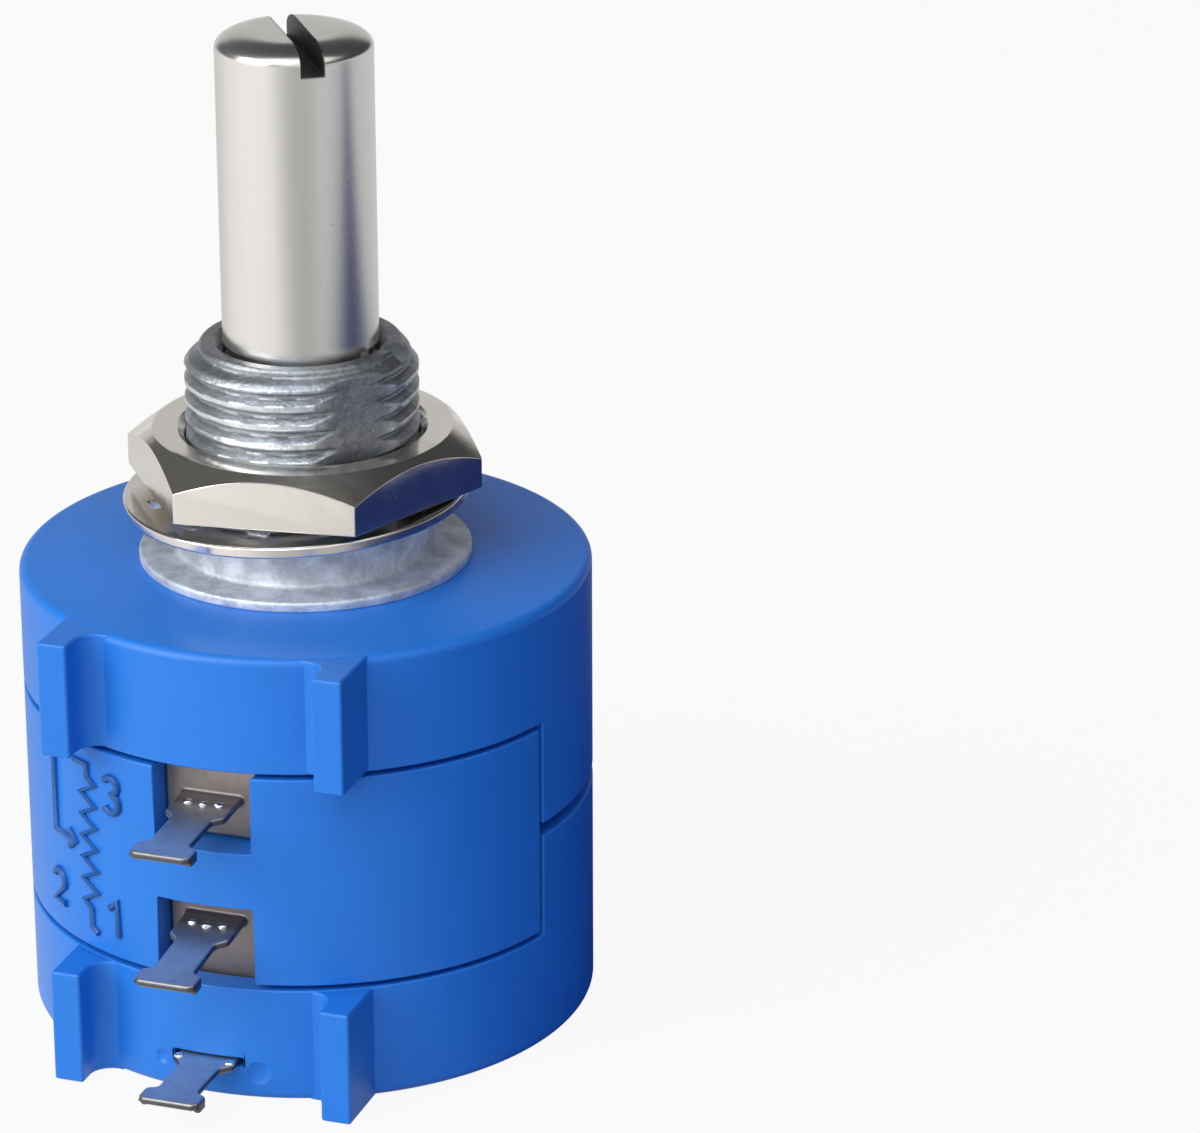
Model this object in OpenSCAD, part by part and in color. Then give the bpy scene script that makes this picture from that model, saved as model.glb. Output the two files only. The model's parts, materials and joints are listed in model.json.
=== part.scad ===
// Ten-turn wirewound precision potentiometer for panel mounting.
//
// Units are millimetres. The origin is the centre of the rear face, +Z runs along the shaft,
// and the solder lugs point towards -Y. An azimuth is an angle round the shaft, measured from
// the lugs' direction towards +X.

/* [Body] */
// Outer diameter of the moulded body
body_d = 22.2; // [21.6:0.1:25]
// Height of the body from the rear face to the front face
body_h = 18.2; // [18.1:0.1:22]
// Thickness of both covers' side walls
cover_wall = 1.1; // [0.9:0.05:1.3]
// Thickness of the rear cover's floor
rear_floor = 1.35; // [1.2:0.05:1.5]
// Thickness of the front cover's end wall
front_wall = 1.3; // [1.2:0.05:1.5]
// Rounding of the covers' outer rims
rim_round = 0.35; // [0.1:0.05:0.5]
// Open joint between the two covers at mid height
cover_joint = 0.5; // [0.2:0.05:1]

/* [Raised panel] */
// Height of the panel that carries the terminals
panel_h = 8.5; // [8:0.1:9]
// Half of the angle that the panel spans
panel_half_angle = 75; // [60:1:85]
// Open joint between the panel and the covers
panel_joint = 0.2; // [0.1:0.05:0.3]
// Width of each terminal window
window_w = 3.9; // [3.4:0.1:4.4]
// Height of each terminal window
window_h = 3.1; // [2.8:0.1:3.4]
// Depth of the windows below the panel's surface
window_depth = 1.6; // [1.5:0.05:1.7]

/* [Ears] */
// Distance between the inner sides of a pair of ears
ear_gap = 9.8; // [8:0.1:12]
// Thickness of an ear
ear_t = 1.2; // [0.8:0.1:1.6]
// How far the ears reach beyond the body's radius
ear_reach = 0.75; // [0.4:0.05:1.5]
// Radius of the fillet on the inner side of an ear
ear_fillet = 0.8; // [0.4:0.1:1]

/* [Rear face] */
// Side of the square on which the four blind holes lie
rear_hole_pitch = 6.35; // [6:0.05:7]
// Diameter of a blind hole
rear_hole_d = 1.05; // [0.6:0.05:1.2]
// Depth of a blind hole
rear_hole_depth = 0.7; // [0.3:0.1:1]

/* [Element case] */
// Wall thickness of the case's tube
case_wall = 0.85; // [0.7:0.05:1]

/* [Bushing] */
// Outer diameter of the thread
thread_d = 9; // [8.6:0.1:9.4]
// Height of the bushing above the front face
bushing_h = 8.75; // [7:0.05:12]
// Width of the chamfer at the top of the thread
thread_chamfer = 0.7; // [0.3:0.05:0.8]
// Height of the chamfer at the top of the thread
thread_chamfer_h = 0.85; // [0.4:0.05:1]
// Distance from the axis to the flats on the thread
thread_flat = 4.08; // [4:0.01:4.2]
// Height of the round land between the collar and the flats
flat_land = 0.1; // [0.05:0.05:1]
// Azimuth of the first flat on the thread
thread_flat_az = 52; // [0:1:180]
// Diameter of the flange on the front face
flange_d = 12.9; // [11.5:0.1:14]
// Height of the flange
flange_h = 0.4; // [0.2:0.05:1]
// Diameter of the collar under the thread
collar_d = 10.1; // [10:0.05:10.5]
// Height of the collar above the flange
collar_h = 1.75; // [1:0.05:3]
// Diameter of the neck in the front cover
neck_d = 11.2; // [10.6:0.1:12]
// Diameter of the rim clinched inside the front cover
clinch_d = 12.8; // [12.2:0.1:14]
// Height of the clinched rim
clinch_h = 0.45; // [0.3:0.05:0.5]
// Width of the notch in the bushing's top rim
rim_notch_w = 1; // [0.4:0.1:1.2]
// Depth of the notch in the bushing's top rim
rim_notch_depth = 0.6; // [0.3:0.1:1]
// Azimuth of the notch
rim_notch_az = 93; // [0:1:360]
// Width of the countersink round the shaft
countersink = 0.3; // [0.1:0.05:0.4]

/* [Shaft] */
// Diameter of the shaft
shaft_d = 6; // [5.6:0.05:6.35]
// Length of the shaft above the bushing
shaft_free = 12.2; // [8:0.1:30]
// Radius of the arc that narrows the shaft's end
shaft_edge = 1.3; // [0.8:0.1:2]
// Height of that arc
shaft_edge_h = 0.65; // [0.3:0.05:0.8]
// Width of the screwdriver slot
slot_w = 0.85; // [0.6:0.05:1.4]
// Depth of the screwdriver slot
slot_depth = 1.05; // [0.8:0.05:2]
// Azimuth of the screwdriver slot
slot_az = 35.5; // [0:0.5:180]
// Diameter of the shaft's seat in the rotor
seat_d = 4; // [3.4:0.1:4.4]
// Distance from the axis to the flat on that seat
seat_flat = 1.6; // [1.4:0.05:1.7]
// Height of the oil groove just inside the bushing's top
oil_groove_h = 0.7; // [0.6:0.05:1.2]
// Depth of the oil groove
oil_groove_depth = 0.25; // [0.2:0.05:0.4]

/* [Nut and washer] */
// Width of the nut across its flats
nut_af = 12.2; // [11.6:0.1:13]
// Height of the nut
nut_h = 2.15; // [1.6:0.05:3]
// Diameter of the nut's flat top, inside the chamfer
nut_top_d = 11.6; // [10.6:0.1:12]
// Angle of the chamfer on the nut's corners
nut_chamfer = 37; // [20:1:45]
// Bevel at the top of the nut's bore
nut_bevel = 0.3; // [0.1:0.05:0.4]
// Azimuth of one of the nut's corners
nut_az = 37.5; // [0:0.5:60]
// Outer diameter of the washer
washer_d = 13.4; // [12:0.1:14]
// Bore of the washer
washer_bore = 9.9; // [9.8:0.05:9.95]
// Thickness of the washer
washer_t = 0.45; // [0.3:0.05:0.6]
// Number of the washer's inner teeth
washer_teeth = 12; // [8:1:14]
// Depth of the gaps between those teeth
tooth_depth = 0.8; // [0.4:0.1:1]
// How far the washer lies off centre
washer_shift = 0.3; // [0:0.05:0.3]
// Tilt of the washer in degrees
washer_tilt = 2.5; // [0.5:0.1:3]
// Azimuth towards which the washer is shifted and leans down
washer_az = -55; // [-180:1:180]

/* [Terminals] */
// Thickness of the terminals' sheet
sheet_t = 0.3; // [0.2:0.05:0.3]
// How far a lug's end stands beyond the body's radius
lug_reach = 4; // [3:0.1:6]
// Width of a lug's head and root
lug_head_w = 2.45; // [2:0.05:2.6]
// Width of a lug's neck
lug_neck_w = 1.63; // [1.2:0.05:1.9]
// Length of a lug's head
lug_head_l = 0.9; // [0.6:0.05:1.2]
// Length of a lug's root beyond the body's radius
lug_root_l = 0.45; // [0.3:0.05:0.6]
// Depth of the lips under both sides of the head
lug_hook = 0.2; // [0.1:0.05:0.3]
// Height of the upper lug above the middle of the body
lug_high = 2.8; // [2.4:0.1:3.4]
// Height of the lower lug below the middle of the body
lug_low = 2.15; // [1.8:0.05:3]
// Fall of the upper lug in degrees
lug_high_droop = 3; // [0:0.5:6]
// Fall of the lower lug in degrees
lug_low_droop = 6; // [0:0.5:8]

/* [Resistance element] */
// Number of turns
turns = 10; // [6:1:10]
// Axial distance between turns
turn_pitch = 0.9; // [0.85:0.01:0.92]
// Diameter of the wound mandrel
element_d = 0.6; // [0.5:0.02:0.64]
// How deep the element lies in the case's helical groove
element_bed = 0.16; // [0.1:0.02:0.2]

/* [Rotor and carriage] */
// Thickness of the rotor's end flanges
rotor_flange_t = 0.55; // [0.4:0.05:0.6]
// Diameter of the rotor's core
core_d = 7.8; // [7:0.1:8]
// Width of the channel that guides the carriage
channel_w = 3.2; // [2.8:0.1:3.8]
// Thickness of the channel's two ribs
channel_rib = 1; // [0.6:0.1:1.2]
// Distance from the axis to the ribs' outer edges
channel_reach = 7; // [6.6:0.1:7.2]
// Height of the contact carriage
carriage_h = 2; // [1.8:0.1:2.1]
// Diameter of the collector rod
rod_d = 1.2; // [0.8:0.1:1.3]
// Distance from the axis to the collector rod
rod_r = 5.1; // [5:0.05:5.3]
// Width of the wiper contact
contact_w = 1.8; // [1.2:0.1:2.2]
// Thickness of the wiper contact
contact_t = 0.25; // [0.15:0.05:0.35]
// How far the contact's fork reaches past the rod's axis
contact_fork = 0.4; // [0.2:0.1:0.5]
// Free space between the contact's tip and the element
contact_gap = 0.08; // [0.06:0.01:0.12]
// Diameter of the rotor's rear journal
journal_d = 4.8; // [4:0.1:5]
// Thickness of the wall round the journal's pocket
pocket_wall = 1; // [0.6:0.1:1.1]
// Height of that wall above the rear cover's floor
pocket_rise = 0.9; // [0.6:0.05:1.1]
// Depth of the pocket below that floor
pocket_sink = 0.4; // [0.2:0.05:0.5]
// Inner diameter of the slip ring
slip_ring_id = 8.4; // [8:0.1:8.8]
// Outer diameter of the slip ring
slip_ring_od = 13; // [12.6:0.1:14]
// Thickness of the slip ring
slip_ring_t = 0.25; // [0.15:0.05:0.3]
// Width of the brush spring
brush_w = 1.6; // [1:0.1:2.2]
// Thickness of the brush spring
brush_t = 0.15; // [0.1:0.01:0.2]
// Distance between the case's bore and the brush spring's foot
brush_gap = 0.4; // [0.2:0.05:0.8]
// Length of that foot
brush_foot_l = 0.9; // [0.5:0.1:1]
// Length of the brush spring's level crest
brush_crest = 0.6; // [0.4:0.1:1]

/* [Shaft retention] */
// Thickness of the retaining ring
ring_t = 0.4; // [0.3:0.05:0.45]
// Outer diameter of the retaining ring
ring_d = 9.4; // [8.4:0.1:10]
// Diameter at the bottom of the ring's groove
groove_d = 5; // [4.8:0.1:5.2]
// Height of the cone spring washer
cone_h = 0.22; // [0.16:0.01:0.24]
// Thickness of the cone spring washer's sheet
cone_t = 0.12; // [0.1:0.01:0.14]
// Thickness of the thrust washer
thrust_t = 0.23; // [0.15:0.01:0.25]

/* [Clearances] */
// Radial clearance of every running fit
run_clear = 0.05; // [0.03:0.01:0.08]
// Clearance between pieces that are assembled and stay still
seat_clear = 0.02; // [0.01:0.01:0.04]
// Free space between the carriage and the rotor's flanges at the ends of travel
travel_clear = 0.1; // [0.05:0.05:0.15]

/* [Hidden] */

$fn = 96;
// Overlap that lets a cut run clean through a face
cut = 0.1;
// Space on each side of the rear lug in its slot
slot_space = 0.2;
// Space between the rotor's flanges and the element
rotor_space = 0.4;
// Material under the shaft's seat in the rotor
seat_floor = 0.3;
// Space between the taps' inner ends and the contact's path
tap_space = 0.06;
// How far a piece is let into the one it is joined to
bite = 0.03;

// Radii
body_r = body_d / 2;
cover_bore_r = body_r - cover_wall;
case_r = cover_bore_r - run_clear;
case_bore_r = case_r - case_wall;
thread_r = thread_d / 2;
shaft_r = shaft_d / 2;
shaft_bore_r = shaft_r + run_clear;
seat_r = seat_d / 2;
core_r = core_d / 2;
journal_r = journal_d / 2;
pocket_r = journal_r + run_clear;
rod_bore_r = rod_d / 2 + run_clear;
nut_corner_r = nut_af / sqrt(3);
element_r = case_bore_r - element_d / 2 + element_bed;
element_inner_r = element_r - element_d / 2;
rotor_r = element_inner_r - rotor_space;
brush_foot_r = case_bore_r - brush_gap;

// Levels
case_bottom = rear_floor + seat_clear;
mid_z = body_h / 2;
panel_bottom = mid_z - panel_h / 2;
panel_top = mid_z + panel_h / 2;
window_edge = panel_bottom - panel_joint;
case_top = body_h - front_wall - run_clear;
flange_top = body_h + flange_h;
collar_top = flange_top + collar_h;
bushing_top = body_h + bushing_h;
bushing_end = body_h - front_wall - clinch_h;
shaft_top = bushing_top + shaft_free;
travel = turns * turn_pitch;
channel_end = travel / 2 + carriage_h / 2 + travel_clear;
rotor_bottom = mid_z - channel_end - rotor_flange_t;
rotor_top = mid_z + channel_end + rotor_flange_t;
thrust_z = bushing_end - run_clear - thrust_t;
cone_z = thrust_z - cone_h;
ring_z = cone_z - ring_t;
pocket_top = rear_floor + pocket_rise;
pocket_bottom = rear_floor - pocket_sink;
slip_ring_z = rotor_bottom - slip_ring_t;
brush_top = slip_ring_z - seat_clear;
seat_bottom = rotor_bottom + seat_floor;

// Width of the rear lug's slot in the cover and in the case
lug_slot_w = lug_head_w + 2 * slot_space;

// Heights of the element's two ends, and where the contact's metal starts
high_end = mid_z + travel / 2;
low_end = mid_z - travel / 2;
contact_root_r = rod_r - contact_fork;

// The washer leans on the collar's edge and just clears the nut
washer_rise = collar_d / 2 * tan(washer_tilt);
washer_z = collar_top + washer_rise;
nut_z = washer_z + washer_t + washer_d / 2 * tan(washer_tilt) + seat_clear;

// Plates of the end terminals
plate_front = body_r - window_depth + sheet_t;
plate_back = body_r - window_depth;
plate_w = window_w - 2 * run_clear;
plate_hidden = 0.6;
// Taps that join the plates to the element's ends
tap_w = 0.5;
tap_h = 0.4;
tap_r = element_inner_r + tap_space;

// Places a child that points towards -Y at an azimuth
module at_azimuth(az) {
    rotate([0, 0, az]) children();
}

// Flat ring or disc
module ring(outer_r, inner_r, height) {
    difference() {
        cylinder(r = outer_r, h = height);
        translate([0, 0, -cut]) cylinder(r = inner_r, h = height + 2 * cut);
    }
}

// Box that is centred on the terminals' plane, from one distance from the axis to another
module bar(width, from_r, to_r, bottom, top) {
    translate([-width / 2, -to_r, bottom]) cube([width, to_r - from_r, top - bottom]);
}

// Half section of a round bar; an arc of a radius and a height narrows its top
module rounded_half(radius, height, edge, edge_h) {
    difference() {
        square([radius, height]);
        translate([radius - edge, height - edge_h]) difference() {
            square(edge + cut);
            circle(r = edge);
        }
    }
}

// Outline of one ear in plan, on the +X side; its inner fillet runs into the body
module ear_outline() {
    inner_x = ear_gap / 2;
    centre_x = inner_x - ear_fillet;
    centre_reach = body_r + ear_fillet - bite;
    centre_y = sqrt(centre_reach * centre_reach - centre_x * centre_x);
    root_y = body_r * 0.7;
    translate([inner_x, -body_r - ear_reach]) square([ear_t, body_r + ear_reach - root_y]);
    difference() {
        translate([centre_x, -centre_y]) square([ear_fillet + bite, centre_y - root_y]);
        translate([centre_x, -centre_y]) circle(r = ear_fillet);
    }
}

// The pair of ears on a cover
module ears(bottom, top) {
    translate([0, 0, bottom]) linear_extrude(top - bottom) difference() {
        union() {
            ear_outline();
            mirror([1, 0]) ear_outline();
        }
        circle(r = cover_bore_r + cover_wall / 2);
    }
}

// Sector in plan that spans an angle on both sides of the terminals
module sector(half_angle, reach) {
    polygon([[0, 0],
             [-reach * sin(half_angle), -reach * cos(half_angle)],
             [0, -reach / cos(half_angle / 2)],
             [reach * sin(half_angle), -reach * cos(half_angle)]]);
}

// Cup with ears and the opening for the raised panel, open towards +Z
module cup(floor_t) {
    height = mid_z - cover_joint / 2;
    difference() {
        union() {
            rotate_extrude() translate([0, height]) mirror([0, 1])
                rounded_half(body_r, height, rim_round, rim_round);
            ears(0, window_edge);
        }
        translate([0, 0, floor_t]) cylinder(r = cover_bore_r, h = height);
        translate([0, 0, window_edge]) linear_extrude(height)
            sector(panel_half_angle, 2 * body_r);
    }
}

module front_cover() {
    color("royalblue")
    difference() {
        translate([0, 0, body_h]) mirror([0, 0, 1]) cup(front_wall);
        translate([0, 0, body_h - front_wall - cut])
            cylinder(r = neck_d / 2 + seat_clear, h = front_wall + 2 * cut);
    }
}

module rear_cover() {
    color("royalblue")
    difference() {
        union() {
            cup(rear_floor);
            translate([0, 0, rear_floor - cut])
                cylinder(r = pocket_r + pocket_wall, h = pocket_top - rear_floor + cut);
        }
        translate([0, 0, pocket_bottom]) cylinder(r = pocket_r, h = pocket_top);
        bar(lug_slot_w, cover_bore_r - cut, body_r + cut, rear_floor, rear_floor + sheet_t + run_clear);
        for (x = [-1, 1], y = [-1, 1])
            translate([x * rear_hole_pitch / 2, y * rear_hole_pitch / 2, -cut])
                cylinder(d = rear_hole_d, h = rear_hole_depth + cut, $fn = 32);
    }
}

// Half turn of the element, which climbs half a pitch
module half_turn(wire_d) {
    slope = asin(turn_pitch / 4 / element_r);
    rotate([0, slope, 0]) rotate_extrude(angle = 180)
        translate([element_r, 0]) circle(d = wire_d, $fn = 24);
}

// Ten right-hand turns, made of sloping half turns that meet end to end
module winding(wire_d) {
    for (k = [0 : 2 * turns - 1])
        translate([0, 0, mid_z - travel / 2 + (k + 0.5) * turn_pitch / 2])
            rotate([0, 0, -90 + 180 * k]) half_turn(wire_d);
}

module resistance_element() {
    color("peru") winding(element_d);
}

// Cut for an end terminal's plate, its window and its tap
module terminal_cut(window_bottom, window_top, tap_z, side) {
    bar(window_w, plate_back, body_r + cut, window_bottom, window_top);
    translate([side * tap_w / 2, 0, 0])
        bar(tap_w + 2 * run_clear, case_bore_r - cut, plate_back + cut,
            tap_z - tap_h / 2 - run_clear, tap_z + tap_h / 2 + run_clear);
}

module element_case() {
    joint_angle = asin(panel_joint / body_r);
    color("royalblue")
    difference() {
        union() {
            translate([0, 0, case_bottom]) ring(case_r, case_bore_r, case_top - case_bottom);
            translate([0, 0, panel_bottom]) linear_extrude(panel_h) difference() {
                intersection() {
                    circle(r = body_r);
                    sector(panel_half_angle - joint_angle, 2 * body_r);
                }
                circle(r = case_r - case_wall / 2);
            }
        }
        winding(element_d + 2 * seat_clear);
        terminal_cut(panel_top - window_h, panel_top + plate_hidden + run_clear, high_end, 1);
        terminal_cut(panel_bottom - plate_hidden - run_clear, panel_bottom + window_h, low_end, -1);
        bar(lug_slot_w, case_bore_r - cut, case_r + cut, case_bottom - cut,
            rear_floor + sheet_t + run_clear);
    }
}

module bushing() {
    neck_r = neck_d / 2;
    clinch_z = body_h - front_wall;
    color("darkgray")
    difference() {
        rotate_extrude() polygon([
            [0, bushing_end], [clinch_d / 2, bushing_end], [clinch_d / 2, clinch_z],
            [neck_r, clinch_z], [neck_r, body_h],
            [flange_d / 2, body_h], [flange_d / 2, flange_top],
            [collar_d / 2, flange_top], [collar_d / 2, collar_top],
            [thread_r, collar_top], [thread_r, bushing_top - thread_chamfer_h],
            [thread_r - thread_chamfer, bushing_top], [0, bushing_top]]);
        translate([0, 0, bushing_end - cut])
            cylinder(r = shaft_bore_r, h = bushing_top - bushing_end + 2 * cut);
        translate([0, 0, bushing_top - countersink])
            cylinder(r1 = shaft_bore_r, r2 = shaft_bore_r + countersink + cut, h = countersink + cut);
        for (side = [0, 180])
            at_azimuth(thread_flat_az + side)
                bar(thread_d, thread_flat, thread_r + cut, collar_top + flat_land, bushing_top + cut);
        at_azimuth(rim_notch_az)
            bar(rim_notch_w, shaft_r, thread_r, bushing_top - rim_notch_depth, bushing_top + cut);
    }
}

// Round bar with a flat on the side away from the terminals
module flatted_bar(radius, flat, height) {
    difference() {
        cylinder(r = radius, h = height);
        translate([-radius, flat, -cut]) cube([2 * radius, radius, height + 2 * cut]);
    }
}

module shaft() {
    groove_h = ring_t + 2 * seat_clear;
    color("silver")
    difference() {
        union() {
            translate([0, 0, seat_bottom])
                flatted_bar(seat_r, seat_flat, rotor_top - seat_bottom + bite);
            translate([0, 0, rotor_top]) rotate_extrude()
                rounded_half(shaft_r, shaft_top - rotor_top, shaft_edge, shaft_edge_h);
        }
        translate([0, 0, ring_z - seat_clear]) ring(shaft_r + cut, groove_d / 2, groove_h);
        translate([0, 0, bushing_top - oil_groove_h])
            ring(shaft_r + cut, shaft_r - oil_groove_depth, oil_groove_h);
        at_azimuth(slot_az)
            bar(slot_w, -shaft_d, shaft_d, shaft_top - slot_depth, shaft_top + cut);
    }
}

module hex_nut() {
    bore_r = thread_r + run_clear;
    chamfer_drop = (nut_corner_r - nut_top_d / 2) * tan(nut_chamfer);
    color("gainsboro")
    translate([0, 0, nut_z]) difference() {
        intersection() {
            at_azimuth(nut_az - 90) cylinder(r = nut_corner_r, h = nut_h, $fn = 6);
            rotate_extrude() polygon([
                [0, 0], [nut_corner_r + cut, 0], [nut_corner_r + cut, nut_h - chamfer_drop],
                [nut_corner_r, nut_h - chamfer_drop], [nut_top_d / 2, nut_h], [0, nut_h]]);
        }
        translate([0, 0, -cut]) cylinder(r = bore_r, h = nut_h + 2 * cut);
        translate([0, 0, nut_h - nut_bevel])
            cylinder(r1 = bore_r, r2 = bore_r + nut_bevel + cut, h = nut_bevel + cut);
    }
}

module lock_washer() {
    color("lightgray")
    at_azimuth(washer_az) translate([0, -washer_shift, washer_z]) rotate([washer_tilt, 0, 0])
    difference() {
        ring(washer_d / 2, washer_bore / 2, washer_t);
        for (k = [1 : washer_teeth])
            at_azimuth(360 / washer_teeth * k)
                bar(washer_bore / washer_teeth, washer_bore / 2 - 0.5,
                    washer_bore / 2 + tooth_depth, -cut, washer_t + cut);
    }
}

// Outline of a lug in plan, from one distance to its end, with shoulders and a wide head
module lug_outline(from_r) {
    root = lug_head_w / 2;
    neck = lug_neck_w / 2;
    ease = root - neck;
    end_r = body_r + lug_reach;
    head_r = end_r - lug_head_l;
    half = [[root, from_r], [root, body_r + lug_root_l], [neck, body_r + lug_root_l + ease],
            [neck, head_r - ease / 2], [root, head_r], [root, end_r - ease / 2],
            [root - ease / 2, end_r]];
    count = len(half);
    polygon([for (p = half) [p.x, -p.y], for (k = [1 : count]) [-half[count - k].x, -half[count - k].y]]);
}

// Lug of flat sheet, with a lip under both sides of its head
module lug(from_r) {
    end_r = body_r + lug_reach;
    linear_extrude(sheet_t) lug_outline(from_r);
    for (side = [-1, 1])
        translate([side * (lug_head_w - sheet_t) / 2, 0, 0])
            bar(sheet_t, end_r - lug_head_l, end_r - sheet_t, -lug_hook, sheet_t / 2);
}

// Plate in a window, with its tap to the element's end
module end_plate(bottom, top, tap_z, side) {
    bar(plate_w, plate_back, plate_front, bottom, top);
    translate([side * tap_w / 2, 0, 0])
        bar(tap_w, tap_r, plate_back + sheet_t / 2, tap_z - tap_h / 2, tap_z + tap_h / 2);
}

// Lug that leaves its plate at a height and falls by an angle
module fallen_lug(height, fall) {
    root_r = plate_front - sheet_t / 2;
    translate([0, -root_r, height - sheet_t / 2]) rotate([fall, 0, 0])
        translate([0, root_r, 0]) lug(root_r);
}

module terminal_ccw() {
    color("slategray") {
        end_plate(panel_top - window_h + run_clear, panel_top + plate_hidden, high_end, 1);
        fallen_lug(mid_z + lug_high, lug_high_droop);
    }
}

module terminal_cw() {
    color("slategray") {
        end_plate(panel_bottom - plate_hidden, panel_bottom + window_h - run_clear, low_end, -1);
        fallen_lug(mid_z - lug_low, lug_low_droop);
    }
}

module terminal_wiper() {
    color("slategray") translate([0, 0, rear_floor]) lug(brush_foot_r - brush_foot_l);
}

// Foot, slope, crest and turned-down end of the brush, as distances from the axis and heights
module brush_spring() {
    foot_z = rear_floor + sheet_t;
    low_end_r = (slip_ring_id + slip_ring_od) / 4;
    line = [[brush_foot_r, foot_z + brush_t], [brush_foot_r - brush_foot_l, foot_z + brush_t],
            [low_end_r + brush_crest / 2, brush_top], [low_end_r - brush_crest / 2, brush_top],
            [low_end_r - brush_crest, brush_top - brush_crest / 2]];
    count = len(line);
    color("goldenrod")
    translate([-brush_w / 2, 0, 0]) rotate([90, 0, 90]) linear_extrude(brush_w)
        polygon([for (p = line) [-p.x, p.y],
                 for (k = [1 : count]) [-line[count - k].x, line[count - k].y - brush_t]]);
}

module rotor() {
    height = rotor_top - rotor_bottom;
    color("dimgray")
    difference() {
        union() {
            for (z = [rotor_bottom, rotor_top - rotor_flange_t])
                translate([0, 0, z]) cylinder(r = rotor_r, h = rotor_flange_t);
            translate([0, 0, rotor_bottom]) cylinder(r = core_r, h = height);
            translate([0, 0, pocket_bottom + run_clear])
                cylinder(r = journal_r, h = rotor_bottom - pocket_bottom);
            for (side = [-1, 1])
                translate([side * (channel_w + channel_rib) / 2, 0, 0])
                    bar(channel_rib, core_r / 2, channel_reach, rotor_bottom, rotor_top);
        }
        translate([0, 0, seat_bottom])
            flatted_bar(seat_r + seat_clear, seat_flat + seat_clear, height);
        translate([0, -rod_r, rotor_bottom - cut])
            cylinder(r = rod_d / 2 + seat_clear, h = height + 2 * cut);
    }
}

module contact_carriage() {
    color("ivory")
    difference() {
        bar(channel_w - 2 * run_clear, core_r + run_clear, channel_reach,
            mid_z - carriage_h / 2, mid_z + carriage_h / 2);
        translate([0, -rod_r, mid_z - carriage_h / 2 - cut])
            cylinder(r = rod_bore_r, h = carriage_h + 2 * cut);
        bar(contact_w + 2 * seat_clear, contact_root_r - seat_clear, channel_reach + cut,
            mid_z - contact_t / 2 - seat_clear, mid_z + contact_t / 2 + seat_clear);
    }
}

module wiper_contact() {
    tip = contact_w / 4;
    tip_r = element_inner_r - contact_gap;
    color("gold")
    translate([0, 0, mid_z - contact_t / 2]) linear_extrude(contact_t) difference() {
        union() {
            translate([-contact_w / 2, -channel_reach - tip])
                square([contact_w, channel_reach + tip - contact_root_r]);
            translate([-tip, -tip_r + tip]) square([2 * tip, tip_r - tip - contact_root_r]);
            translate([0, -tip_r + tip]) circle(r = tip, $fn = 32);
        }
        translate([0, -rod_r]) circle(r = rod_bore_r);
    }
}

module collector_rod() {
    color("gold")
    translate([0, -rod_r, rotor_bottom]) cylinder(d = rod_d, h = rotor_top - rotor_bottom);
}

module slip_ring() {
    color("gold")
    translate([0, 0, slip_ring_z]) ring(slip_ring_od / 2, slip_ring_id / 2, slip_ring_t);
}

module retaining_ring() {
    inner_r = groove_d / 2 + seat_clear;
    color("lightsteelblue")
    translate([0, 0, ring_z]) difference() {
        ring(ring_d / 2, inner_r, ring_t);
        bar(groove_d * 0.8, 0, ring_d, -cut, ring_t + cut);
    }
}

// Cone of thin sheet, which rises towards its inner edge
module spring_washer() {
    outer_r = ring_d / 2;
    inner_r = shaft_r + run_clear;
    color("lightsteelblue")
    translate([0, 0, cone_z]) rotate_extrude() polygon([
        [outer_r, 0], [outer_r, cone_t], [inner_r, cone_h], [inner_r, cone_h - cone_t]]);
}

module thrust_washer() {
    color("lightsteelblue")
    translate([0, 0, thrust_z]) ring(ring_d / 2, shaft_r + run_clear, thrust_t);
}

front_cover();
rear_cover();
element_case();
bushing();
shaft();
hex_nut();
lock_washer();
terminal_ccw();
terminal_cw();
terminal_wiper();
resistance_element();
rotor();
contact_carriage();
wiper_contact();
collector_rod();
slip_ring();
brush_spring();
retaining_ring();
spring_washer();
thrust_washer();
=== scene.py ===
import json
import math

import bpy
from bpy.props import FloatProperty, FloatVectorProperty, IntProperty, PointerProperty
from bpy.types import Operator, Panel, PropertyGroup
from mathutils import Matrix, Vector, noise


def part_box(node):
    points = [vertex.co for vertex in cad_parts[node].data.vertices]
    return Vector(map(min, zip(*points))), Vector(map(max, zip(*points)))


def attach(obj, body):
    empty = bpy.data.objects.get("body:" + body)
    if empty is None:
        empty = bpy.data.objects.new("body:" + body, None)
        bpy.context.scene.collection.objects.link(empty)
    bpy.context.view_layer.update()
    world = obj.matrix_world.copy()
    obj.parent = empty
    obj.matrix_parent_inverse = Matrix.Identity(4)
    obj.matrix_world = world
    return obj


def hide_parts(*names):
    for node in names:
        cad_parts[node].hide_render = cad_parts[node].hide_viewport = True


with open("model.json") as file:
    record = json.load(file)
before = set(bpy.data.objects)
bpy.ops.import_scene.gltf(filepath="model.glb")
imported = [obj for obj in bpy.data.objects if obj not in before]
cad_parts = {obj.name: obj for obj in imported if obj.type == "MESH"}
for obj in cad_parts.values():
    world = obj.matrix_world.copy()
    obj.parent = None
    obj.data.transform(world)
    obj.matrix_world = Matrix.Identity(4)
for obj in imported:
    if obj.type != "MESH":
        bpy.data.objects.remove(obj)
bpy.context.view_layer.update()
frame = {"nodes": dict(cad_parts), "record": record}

bl_info = {
    "name": "Ten-turn Potentiometer",
    "version": (1, 0, 0),
    "blender": (4, 5, 0),
    "location": "View3D > Sidebar > Potentiometer",
    "description": "Dresses the packed model of a panel-mount ten-turn potentiometer",
    "category": "Object",
}

MM = 0.001

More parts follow.
